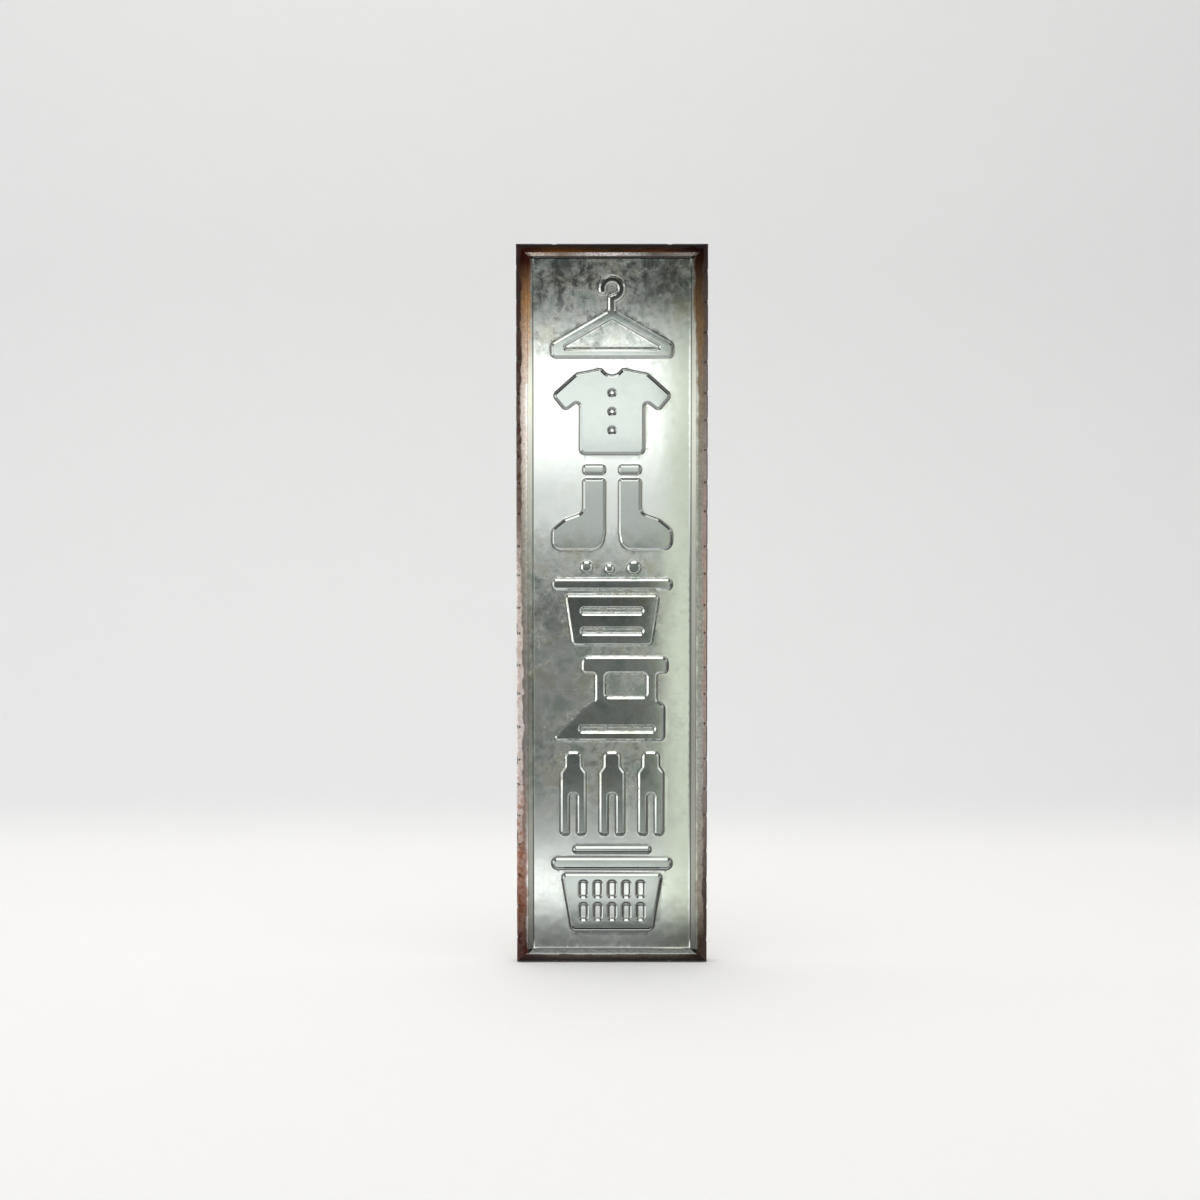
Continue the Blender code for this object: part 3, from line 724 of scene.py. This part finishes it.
# Materials
def patches(add, place, size, span, to=(0, 1), detail=2, **more):
    """Noise with features about this many millimetres across, its span of values stretched to another."""
    uneven = add("TexNoise", {"Vector": place, "Scale": per_mm(size), "Detail": detail, **more})
    return add("MapRange", (uneven, *span, *to))


def band(add, value, middle, reach, full):
    """1 where the value is less than `full` from the middle, fading to 0 at `reach` from it."""
    off = add("Math", (value, middle), operation="SUBTRACT")
    off = add("Math", (off,), operation="ABSOLUTE")
    return add("MapRange", (off, reach, full))


def sheet_places(add):
    """Where on the sheet a point lies: millimetres in from the edges, shares along them, and which side."""
    here = SimpleNamespace(place=add("TexCoord", out="Object"))
    here.spot = add("SeparateXYZ", (here.place,)).node.outputs
    gaps, shares, sides = [], [], []
    for axis, size in (("X", WIDTH), ("Z", HEIGHT)):
        off = add("Math", (here.spot[axis],), operation="ABSOLUTE")
        gaps.append(add("Math", (off, -per_mm(1), size / 2 * per_mm(1)), operation="MULTIPLY_ADD"))
        shares.append(add("MapRange", (here.spot[axis], -size / 2, size / 2)))
        sides.append(add("Math", (here.spot[axis], 0.0), operation="GREATER_THAN"))
    here.side_gap, here.end_gap = gaps
    here.across, here.share = shares
    here.on_right, here.at_top = sides
    here.on_left = add("Math", (1.0, here.on_right), operation="SUBTRACT")
    here.gap = add("Math", gaps, operation="MINIMUM")
    here.on_end = add("Math", (here.end_gap, here.side_gap), operation="LESS_THAN")
    return here


def even_skin(add, spot):
    """Where the zinc lies even: in the sign's upper middle, at its foot and down a strip on its right."""
    middle = band(add, spot["Z"], EVEN_Z, EVEN_REACH + EVEN_FADE, EVEN_REACH)
    strip = add("MapRange", (spot["X"], EVEN_X, EVEN_X + EVEN_X_FADE))
    even = add("Math", (middle, strip), operation="MAXIMUM")
    foot = add("MapRange", (spot["Z"], EVEN_FOOT + EVEN_FADE, EVEN_FOOT))
    even = add("Math", (even, foot), operation="MAXIMUM")
    below = add("MapRange", (spot["Z"], EVEN_TOP, EVEN_TOP - EVEN_FADE))
    return add("Math", (even, below), operation="MULTIPLY")


def frost_clouds(add, here, near, uneven):
    """How frosted the zinc is: soft clouds, grains round the pictures, rubbed lines and a scratch."""
    cloud = patches(add, here.place, 10, (0.4, 0.66), detail=6, Roughness=0.68, Distortion=0.3)
    grain = patches(add, here.place, 3.4, (0.42, 0.66), detail=4, Roughness=0.6)
    region = patches(add, here.place, 45, (0.38, 0.58), to=(0.35, 1))
    for part in (add("MapRange", (grain, 0, 1, 0.6, 1)), region):
        cloud = add("Math", (cloud, part), operation="MULTIPLY")
    halo = add("Math", (near, grain), operation="MULTIPLY")
    frost = add("Math", (halo, HALO_FROST, cloud), operation="MULTIPLY_ADD")
    streaks = add("Mapping", {"Vector": here.place, "Scale": (1.0, 1.0, 0.04)})
    streak = patches(add, streaks, 1.6, (0.56, 0.7), to=(0, 0.4))
    scratch = band(add, here.spot["Z"], *SCRATCH)
    for lines, strength in ((streak, region), (scratch, grain)):
        lines = add("Math", (lines, strength), operation="MULTIPLY")
        frost = add("Math", (frost, lines), operation="MAXIMUM")
    return add("Math", (frost, uneven), operation="MULTIPLY", use_clamp=True)


def zinc_colour(add, here, raised, smooth_top, even, uneven, frost):
    """Clouded zinc, darker on raised faces, with painted shade near the sign's top, on the pictures' slopes
    and on the rim's slopes at both ends.
    """
    zinc = add("Mix", {0: frost, 6: "#ccd1cd", 7: "#d3d7d2"}, **COLOURS)
    stain = add("TexNoise", {"Vector": here.place, "Scale": per_mm(24), "Detail": 4, "Roughness": 0.6})
    stain = add("ValToRGB", (stain,), stops=[(0.36, "#9aaba0"), (0.5, "#ccd1cd"), (0.64, "#b6b8a4")])
    stained = add("Math", (uneven, 0.6), operation="MULTIPLY")
    zinc = add("Mix", {0: stained, 6: zinc, 7: stain}, **COLOURS)
    top_colour = add("VectorMath", (zinc, (0.60, 0.62, 0.61)), operation="MULTIPLY")
    field = add("Mix", {0: smooth_top, 6: zinc, 7: top_colour}, **COLOURS)

    # Painted shade on the pictures' slopes where the zinc lies even, and speckled painted shade on the
    # ledge at the foot and under the crest; the zinc's top is darkened by painted shade too
    slope = add("MapRange", (raised, 0.02, 0.1))
    slope = add("Math", (slope, smooth_top), operation="SUBTRACT", use_clamp=True)
    painted_slope_shade = add("Math", (even, slope), operation="MULTIPLY")
    painted_slope_shade = add("MapRange", (painted_slope_shade, 0, 1, 1.0, 0.5))
    # Painted shade: the zinc darkens towards the sign's top
    painted_top_shade = add("MapRange", (here.spot["Z"], PAINTED_TOP_SHADE_START, PAINTED_TOP_SHADE_END, 1.0, PAINTED_TOP_SHADE_LEVEL))
    ledge = band(add, here.end_gap, *LEDGE)
    ledge = add("Math", (ledge, here.at_top), operation="SUBTRACT", use_clamp=True)
    under = band(add, here.end_gap, *UNDER_CREST)
    for part in (here.at_top, here.on_end):
        under = add("Math", (under, part), operation="MULTIPLY")
    speckled_shade_mask = add("Math", (ledge, under), operation="MAXIMUM")
    # Speckled painted shade, near black where its mask is full
    speckled_shade = add("Math", (here.speckle, SPECKLED_SHADE_LEVEL), operation="MULTIPLY")
    speckled_shade = add("Mix", {0: speckled_shade_mask, 2: 1.0, 3: speckled_shade})
    for shade in (painted_slope_shade, painted_top_shade, speckled_shade):
        field = add("VectorMath", {0: field, 3: shade}, operation="SCALE")
    return field


def rim_reach(add, here):
    """Where the rim is tinted, as far in as the crest and further high up, and where it is oxidised."""
    wider = add("Math", (here.on_right, -0.05, here.share), operation="MULTIPLY_ADD")
    wider = add("MapRange", (wider, 0.8, 0.87, 0, -WIDER_SIDE_TINT))
    side_line = add("Math", (wider, here.side_gap), operation="ADD")
    side_line = add("Math", (here.waver, SIDE_WAVER, side_line), operation="MULTIPLY_ADD")
    side_tint = add("MapRange", (side_line, *SIDE_TINT), **SOFT)
    end_line = add("Math", (here.waver, END_WAVER, here.end_gap), operation="MULTIPLY_ADD")
    end_line = add("Math", (here.at_top, -WIDER_TOP_TINT, end_line), operation="MULTIPLY_ADD")
    end_tint = add("MapRange", (end_line, *END_TINT), **SOFT)
    tinted = add("Math", (side_tint, end_tint), operation="MAXIMUM")
    reach = add("ValToRGB", (here.share,), stops=LEFT_REACH)
    reach = add("Math", (reach, here.on_left), operation="MULTIPLY")
    oxide_line = add("Math", (reach, -WIDER_OXIDE, here.gap), operation="MULTIPLY_ADD")
    oxide_line = add("Math", (here.waver, OXIDE_WAVER, oxide_line), operation="MULTIPLY_ADD")
    return tinted, add("MapRange", (oxide_line, *OXIDE), **SOFT)


def rim_colour(add, here, oxidised, dent, dot):
    """Tints and oxide along each side and across each end, mottled, with flecks, rust, tack holes and
    painted highlights.
    """
    # The left side's oxide and rust ramps hold a painted highlight of the fold partway up
    left, right, left_oxide_and_highlight, right_oxide, rust = [
        add("ValToRGB", (here.share,), stops=stops)
        for stops in (LEFT_TINTS, RIGHT_TINTS, LEFT_OXIDES_AND_HIGHLIGHT, RIGHT_OXIDES, LEFT_RUST_AND_HIGHLIGHT)]
    top, bottom, crest = [
        add("ValToRGB", (here.across,), stops=stops) for stops in (TOP_TINTS, BOTTOM_TINTS, TOP_CREST_HIGHLIGHT)]
    brighter = add("MapRange", (here.side_gap, 5.0, 13.0, 0.72, 1.28))
    left = add("VectorMath", {0: left, 3: brighter}, operation="SCALE")
    tint = add("Mix", {0: here.on_right, 6: left, 7: right}, **COLOURS)
    oxide = add("Mix", {0: here.on_right, 6: left_oxide_and_highlight, 7: right_oxide}, **COLOURS)
    end = add("Mix", {0: here.at_top, 6: bottom, 7: top}, **COLOURS)
    brighter = add("MapRange", (here.end_gap, 2.5, 9.0, 0.3, 1.9))
    end = add("VectorMath", {0: end, 3: brighter}, operation="SCALE")
    end_oxide = add("VectorMath", {0: end, 3: 0.4}, operation="SCALE")
    # Painted highlight along the top's crest, broken up by speckle
    painted_crest_highlight = band(add, here.end_gap, *CREST)
    for part in (here.at_top, here.speckle):
        painted_crest_highlight = add("Math", (painted_crest_highlight, part), operation="MULTIPLY")
    end = add("Mix", {0: painted_crest_highlight, 6: end, 7: crest}, **COLOURS)
    tint = add("Mix", {0: here.on_end, 6: tint, 7: end}, **COLOURS)
    oxide = add("Mix", {0: here.on_end, 6: oxide, 7: end_oxide}, **COLOURS)
    mottles = add("MapRange", (here.mottle, 0.35, 0.7, 1.08, 0.72))
    tint = add("VectorMath", {0: tint, 3: mottles}, operation="SCALE")
    oxide = add("VectorMath", {0: oxide, 3: mottles}, operation="SCALE")

    # Rust patches on the left side, pale cream partway up to keep the fold's painted highlight, maroon
    # flecks on the outer edge and a maroon line down its right side
    left_side, right_side = [
        add("Math", (side, here.on_end), operation="SUBTRACT", use_clamp=True)
        for side in (here.on_left, here.on_right)]
    patch = patches(add, here.place, 7, (0.47, 0.6), detail=4, Roughness=0.6)
    patch = add("Math", (patch, left_side), operation="MULTIPLY")
    oxide = add("Mix", {0: patch, 6: oxide, 7: rust}, **COLOURS)
    longer = add("Mapping", {"Vector": here.place, "Scale": (1.0, 1.0, 0.3)})
    fleck = add("Math", (patches(add, longer, 4, (0.6, 0.66)), right_side), operation="MAXIMUM")
    edge = add("MapRange", (here.gap, 1.7, 0.7), **SOFT)
    edge = add("Math", (edge, fleck), operation="MULTIPLY")
    hole = add("MapRange", (dot, 0.25, 0.6))
    for part, colour in ((oxidised, oxide), (edge, "#4a2226"), (dent, "#1d100c"), (hole, "#160c0a")):
        tint = add("Mix", {0: part, 6: tint, 7: colour}, **COLOURS)
    return tint


def galvanised_steel():
    """Hot-dipped sheet steel with a heat-tinted rim.

    The zinc skin mirrors the room softly, clouded by frosted crystals a few millimetres across. The rim is
    rust and oxide outside, then straw, copper and lilac heat tints, then bare zinc. Painted highlights lie
    on the left side's oxide and the top's crest; painted shade darkens the zinc's top, the pictures' slopes
    and the rim's slopes at both ends.
    """
    material, add, link, shader = new_material("galvanised_steel_heat_tinted_rim")
    here = sheet_places(add)
    here.waver = patches(add, here.place, 16, (0.25, 0.75), to=(-1, 1), detail=4)
    here.speckle = patches(add, here.place, 2.2, (0.42, 0.56), to=(0.6, 1), detail=3)
    mottles = {"Vector": here.place, "Scale": per_mm(3.5), "Detail": 5, "Roughness": 0.65}
    here.mottle = add("TexNoise", mottles)
    raised, dent, near, dot = [add("Attribute", out="Fac", attribute_name=name) for name in VALUES]

    # The back of the sheet is zinc of one kind, with no darker raised faces
    facing = add("SeparateXYZ", (add("TexCoord", out="Normal"),), out="Y")
    on_back = add("Math", (facing, 0.0), operation="GREATER_THAN")
    raised = add("Math", (raised, on_back), operation="SUBTRACT", use_clamp=True)
    even = add("Mix", {0: on_back, 2: even_skin(add, here.spot), 3: 0.5})
    uneven = add("MapRange", (even, 0, 1, 1.0, 0.15))
    frost = frost_clouds(add, here, near, uneven)
    smooth_top = add("MapRange", (raised, 0.75, 0.98))
    field = zinc_colour(add, here, raised, smooth_top, even, uneven, frost)
    tinted, oxidised = rim_reach(add, here)
    rim = rim_colour(add, here, oxidised, dent, dot)
    link(add("Mix", {0: tinted, 6: field, 7: rim}, **COLOURS), shader["Base Color"])

    # Mirror-smooth on the raised faces, frosted by crystals, dull where the rim is oxidised
    gloss = add("Mix", {0: frost, 2: 0.07, 3: 0.34})
    for part, roughness in ((smooth_top, 0.07), (tinted, 0.2), (oxidised, 0.55)):
        gloss = add("Mix", {0: part, 2: gloss, 3: roughness})
    link(gloss, shader["Roughness"])
    link(add("MapRange", (oxidised, 0, 1, 1.0, 0.45)), shader["Metallic"])

    # The sheet's slow waves, then the fine relief of crystals and oxide
    wave = add("TexNoise", {"Vector": here.place, "Scale": per_mm(190), "Detail": 1.5})
    peel = add("TexNoise", {"Vector": here.place, "Scale": per_mm(16), "Detail": 1})
    scale = add("Math", (here.mottle, oxidised), operation="MULTIPLY")
    waves = add("Bump", {"Height": wave, "Distance": 0.5 * MM})
    relief = add("Bump", {"Height": peel, "Distance": 0.02 * MM, "Normal": waves})
    link(add("Bump", {"Height": scale, "Distance": 0.12 * MM, "Normal": relief}), shader["Normal"])
    return material


def pine(name, upright):
    """Planed pine: straw earlywood with darker growth lines along the batten, slightly furry to the eye."""
    material, add, link, shader = new_material(name)
    along = (1.0, 1.0, 0.06) if upright else (0.06, 1.0, 1.0)
    stretched = add("Mapping", {"Vector": add("TexCoord", out="Object"), "Scale": along})
    warp = add("TexNoise", {"Vector": stretched, "Scale": per_mm(26), "Detail": 2}, out="Color")
    bent = add("Mix", {0: 0.024, 6: stretched, 7: warp}, blend_type="ADD", **COLOURS)
    rings = add("TexWave", {"Vector": bent, "Scale": per_mm(9), "Distortion": 1.6, "Detail": 3}, out="Fac",
                wave_type="RINGS", rings_direction="Z" if upright else "X")
    fibre = add("TexNoise", {"Vector": stretched, "Scale": per_mm(1.3), "Detail": 4, "Roughness": 0.7})
    wood = add("ValToRGB", (rings,), stops=[(0.0, "#d6b98c"), (0.55, "#d3b484"), (1.0, "#bc9460")])
    drift = patches(add, stretched, 14, (0.3, 0.7), to=(0.9, 1.06), detail=3)
    for shade in (drift, add("MapRange", (fibre, 0.3, 0.75, 1.06, 0.8))):
        wood = add("VectorMath", {0: wood, 3: shade}, operation="SCALE")
    link(wood, shader["Base Color"])
    link(add("MapRange", (fibre, 0, 1, 0.6, 0.82)), shader["Roughness"])
    link(add("Bump", {"Height": fibre, "Distance": 0.15 * MM}), shader["Normal"])
    return material


def small_steel(name, patch_size, detail, tones, roughness, relief, metallic):
    """Steel of a small piece, patchy in tone, gloss and relief at one scale."""
    material, add, link, shader = new_material(name)
    place = add("TexCoord", out="Object")
    patch = add("TexNoise", {"Vector": place, "Scale": per_mm(patch_size), "Detail": detail})
    link(add("ValToRGB", (patch,), stops=tones), shader["Base Color"])
    link(add("MapRange", (patch, 0, 1, *roughness)), shader["Roughness"])
    link(add("Bump", {"Height": patch, "Distance": relief}), shader["Normal"])
    shader["Metallic"].default_value = metallic
    return material


def blued_steel():
    """Blued cut tacks: blue-black oxide with worn, rusty high spots."""
    tones = [(0.35, "#15161a"), (0.55, "#2d2f36"), (0.72, "#6a4a35")]
    return small_steel("blued_steel", 1.4, 4, tones, (0.3, 0.6), 0.06 * MM, 0.9)


def zinc_plate():
    """Bright zinc plating on small steel parts: blue-white, faintly streaked, with a soft gloss."""
    tones = [(0.3, "#a3a7aa"), (0.5, "#c0c4c6"), (0.72, "#d6d5cb")]
    return small_steel("zinc_plate", 2.5, 5, tones, (0.2, 0.42), 0.02 * MM, 1.0)


def studio_paint():
    """Matt paint: white on the studio's floor, pale grey from where it curves up into the wall."""
    material, add, link, shader = new_material("matt_paint")
    depth = add("SeparateXYZ", (add("TexCoord", out="Object"),), out="Y")
    wall = add("MapRange", (depth, PAINT_START, PAINT_END), **SOFT)
    link(add("Mix", {0: wall, 6: "#f5f5f5", 7: "#e9eaeb"}, **COLOURS), shader["Base Color"])
    shader["Roughness"].default_value = 0.9
    shader["Specular IOR Level"].default_value = 0.1
    return material


# Studio
def make_sweep():
    """A pale floor that curves up into the wall behind the sign."""
    bm = bmesh.new()
    ends = [bm.verts.new((side * SWEEP_HALF_WIDTH, FLOOR_FRONT, FLOOR_Z)) for side in (-1, 1)]
    grown = extruded(bm, [bm.edges.new(ends)])
    bmesh.ops.translate(bm, verts=verts_of(grown), vec=(0, SWEEP_START - FLOOR_FRONT, 0))
    last = verts_of(grown) + [e for e in edges_of(grown) if e.verts[0].co.y == e.verts[1].co.y]
    middle = (0, SWEEP_START, FLOOR_Z + SWEEP_RADIUS)
    turn = bmesh.ops.spin(bm, geom=last, cent=middle, axis=(1, 0, 0), angle=math.pi / 2, steps=24)
    grown = extruded(bm, edges_of(turn["geom_last"]))
    bmesh.ops.translate(bm, verts=verts_of(grown), vec=(0, 0, WALL_TOP))
    bmesh.ops.recalc_face_normals(bm, faces=bm.faces)
    sweep = add_object("studio_sweep", bm, studio_paint(), SHARP_ANGLE)
    sweep.visible_glossy = False


def screen_light():
    """White cloth lit from behind in bands, as bright as what the sign mirrors at each height."""
    material, add, link, shader = new_material("backlit_white_cloth")
    eye = camera_place()
    reach = SCREEN_RADIUS / (FIELD_Y - eye.y)
    spot = add("SeparateXYZ", (add("TexCoord", out="Object"),)).node.outputs
    height = add("Math", (spot["Z"], eye.z * reach), operation="ADD")
    edge = HEIGHT / 2 * (1 + reach)
    share = add("MapRange", (height, -edge, edge))
    across = add("Math", (spot["X"], eye.x * reach), operation="ADD")
    across = add("Math", (across, 1 + reach), operation="DIVIDE")
    turn = add("Math", (spot["X"], SCREEN_RADIUS), operation="DIVIDE")
    aside = add("Math", (turn,), operation="ABSOLUTE")
    above = add("MapRange", (spot["Z"], UPPER_START, SCREEN_TOP))
    front_left, front_right, side_left, side_right, upper = [
        add("ValToRGB", (along,), stops=[(at, light / BRIGHTEST) for at, light in lights])
        for along, lights in zip((share, share, share, share, above), SCREEN_LIGHTS)]
    greenish = add("Mix", {0: 1.0, 6: front_right, 7: "#f6fbe9"}, blend_type="MULTIPLY", **COLOURS)
    on_strip = add("MapRange", (across, STRIP_START, STRIP_END), **SOFT)
    light = add("Mix", {0: on_strip, 6: front_left, 7: greenish}, **COLOURS)
    on_right = add("Math", (turn, 0.0), operation="GREATER_THAN")
    side = add("Mix", {0: on_right, 6: side_left, 7: side_right}, **COLOURS)
    side = add("Mix", {0: 1.0, 6: side, 7: "#fffbf0"}, blend_type="MULTIPLY", **COLOURS)
    wing = add("Mix", {0: on_right, 2: WING_LEFT / BRIGHTEST, 3: WING_RIGHT / BRIGHTEST})
    flag = add("VectorMath", {0: side, 3: FLAG_SHARE}, operation="SCALE")
    for part, turns in ((flag, FLAG_TURNS), (side, SIDE_TURNS), (wing, WING_TURNS)):
        reached = add("MapRange", (aside, *(math.sin(math.radians(angle)) for angle in turns)), **SOFT)
        light = add("Mix", {0: reached, 6: light, 7: part}, **COLOURS)
    over = add("Math", (spot["Z"], UPPER_START), operation="GREATER_THAN")
    link(add("Mix", {0: over, 6: light, 7: upper}, **COLOURS), shader["Emission Color"])
    shader["Emission Strength"].default_value = BRIGHTEST
    shader["Base Color"].default_value = srgb("#0a0a0a")
    return material


def make_screen():
    """A curved light screen before the sign, which the sheet mirrors; the camera doesn't see it."""
    bm = bmesh.new()
    ends = [bm.verts.new((0, -SCREEN_RADIUS, z)) for z in (SCREEN_BOTTOM, SCREEN_TOP)]
    geom = [*ends, bm.edges.new(ends)]
    bmesh.ops.rotate(bm, verts=ends, matrix=Matrix.Rotation(-SCREEN_HALF_TURN, 3, "Z"))
    bmesh.ops.spin(bm, geom=geom, cent=(0, 0, 0), axis=(0, 0, 1), angle=2 * SCREEN_HALF_TURN, steps=64)
    screen = add_object("studio_light_screen", bm, screen_light())
    screen.visible_camera = False


def add_overhead_light():
    light = bpy.data.lights.new("overhead_light", "AREA")
    light.shape = "RECTANGLE"
    light.size, light.size_y = OVERHEAD_SIZE
    light.energy = OVERHEAD_RADIANCE * math.pi * math.prod(OVERHEAD_SIZE)
    light.color = srgb("#fffdf8")[:3]
    lamp = bpy.data.objects.new("overhead_light", light)
    lamp.location = OVERHEAD_PLACE
    lamp.rotation_euler = (-OVERHEAD_PLACE).to_track_quat("-Z", "Y").to_euler()
    bpy.context.scene.collection.objects.link(lamp)


def add_daylight():
    """Soft daylight from all round, a little stronger from below the horizon."""
    world = bpy.data.worlds.new("soft_daylight")
    world.use_nodes = True
    tree, background = world.node_tree, world.node_tree.nodes["Background"].inputs
    background["Color"].default_value = srgb("#f7f6f8")
    up = node(tree, "SeparateXYZ", (node(tree, "TexCoord", out="Generated"),), out="Z")
    tree.links.new(node(tree, "MapRange", (up, -0.9, -0.5, 1.1, 0.85)), background["Strength"])
    bpy.context.scene.world = world


def camera_place():
    return FRAME_CENTRE + CAMERA_DISTANCE * Vector((0, -math.cos(CAMERA_TILT), math.sin(CAMERA_TILT)))


def add_camera():
    camera = bpy.data.cameras.new("camera")
    camera.angle = 2 * math.atan(FRAME_SPAN / 2 / CAMERA_DISTANCE)
    placed = bpy.data.objects.new("camera", camera)
    placed.location = camera_place()
    placed.rotation_euler = (math.pi / 2 - CAMERA_TILT, 0, 0)
    bpy.context.scene.collection.objects.link(placed)
    bpy.context.scene.camera = placed


def main():
    plate = zinc_plate()
    make_face_sheet(galvanised_steel())
    make_tacks(blued_steel())
    make_ring(plate)
    make_screw(plate)
    make_staples(plate)
    finishes = {"stile": pine("pine_upright", True), "rail": pine("pine_across", False), "strap": plate}
    for name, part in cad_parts.items():
        for ending, material in finishes.items():
            if name.endswith(ending):
                part.data.materials.clear()
                part.data.materials.append(material)
    make_sweep()
    make_screen()
    add_camera()
    add_overhead_light()
    add_daylight()
    bpy.context.scene.view_settings.view_transform = "Standard"


main()
